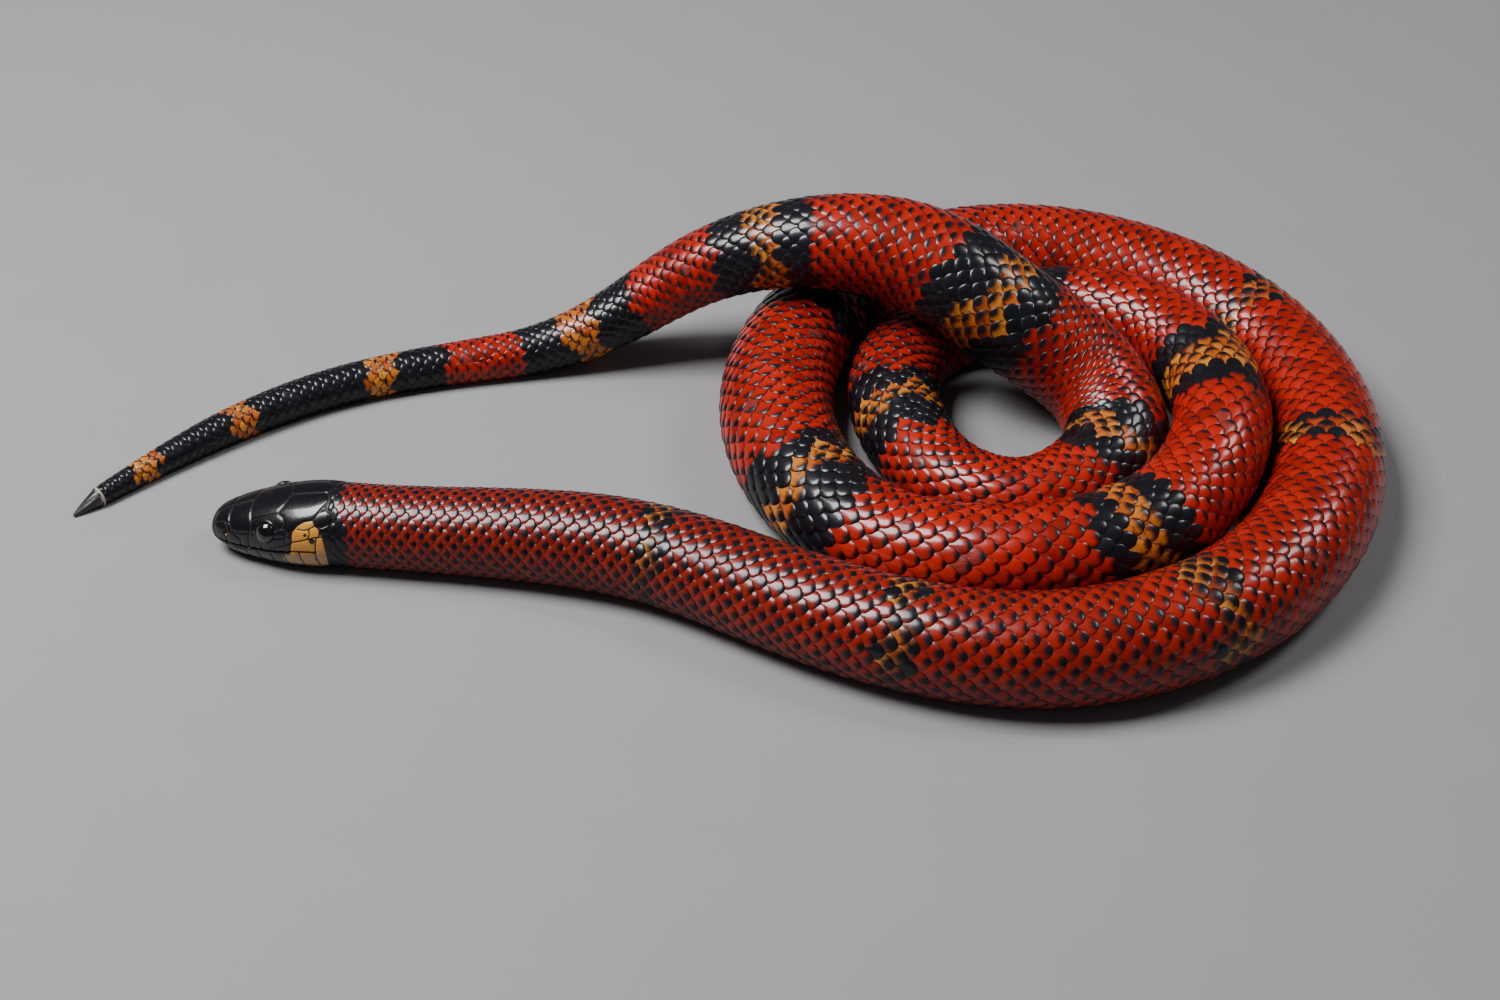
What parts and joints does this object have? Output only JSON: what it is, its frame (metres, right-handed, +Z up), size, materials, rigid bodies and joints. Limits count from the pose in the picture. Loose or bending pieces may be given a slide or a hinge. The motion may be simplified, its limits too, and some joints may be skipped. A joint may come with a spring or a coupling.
{
  "type": "milk snake model",
  "caption": "Life-size still model of a banded milk snake lying in a flat coil, its tail laid back over the coil.",
  "frame": {"origin": "on the floor, under the middle of the snake's box", "axes": "+Z up, +X from the snout towards the coil, +Y from the head's side towards the tail's side"},
  "size_m": [0.299, 0.168, 0.0464],
  "materials": {
    "body_scale": "smooth glossy scales, deep red tipped with black, crossed by black and orange bands",
    "head_plate": "glossy black plates with a yellow-orange patch on each cheek",
    "eye": "wet, nearly black",
    "tail_cap": "satin dark horn"
  },
  "bodies": {
    "root": {"head": "head_plate", "eye_left": "eye", "eye_right": "eye", "neck": "body_scale", "torso_1": "body_scale", "torso_2": "body_scale", "torso_3": "body_scale", "torso_4": "body_scale", "torso_5": "body_scale", "torso_6": "body_scale", "torso_7": "body_scale", "torso_8": "body_scale", "torso_9": "body_scale", "torso_10": "body_scale", "torso_11": "body_scale", "torso_12": "body_scale", "torso_13": "body_scale", "torso_14": "body_scale", "tail_1": "body_scale", "tail_2": "body_scale", "tail_3": "body_scale", "tail_spine": "tail_cap"}
  },
  "joints": []
}
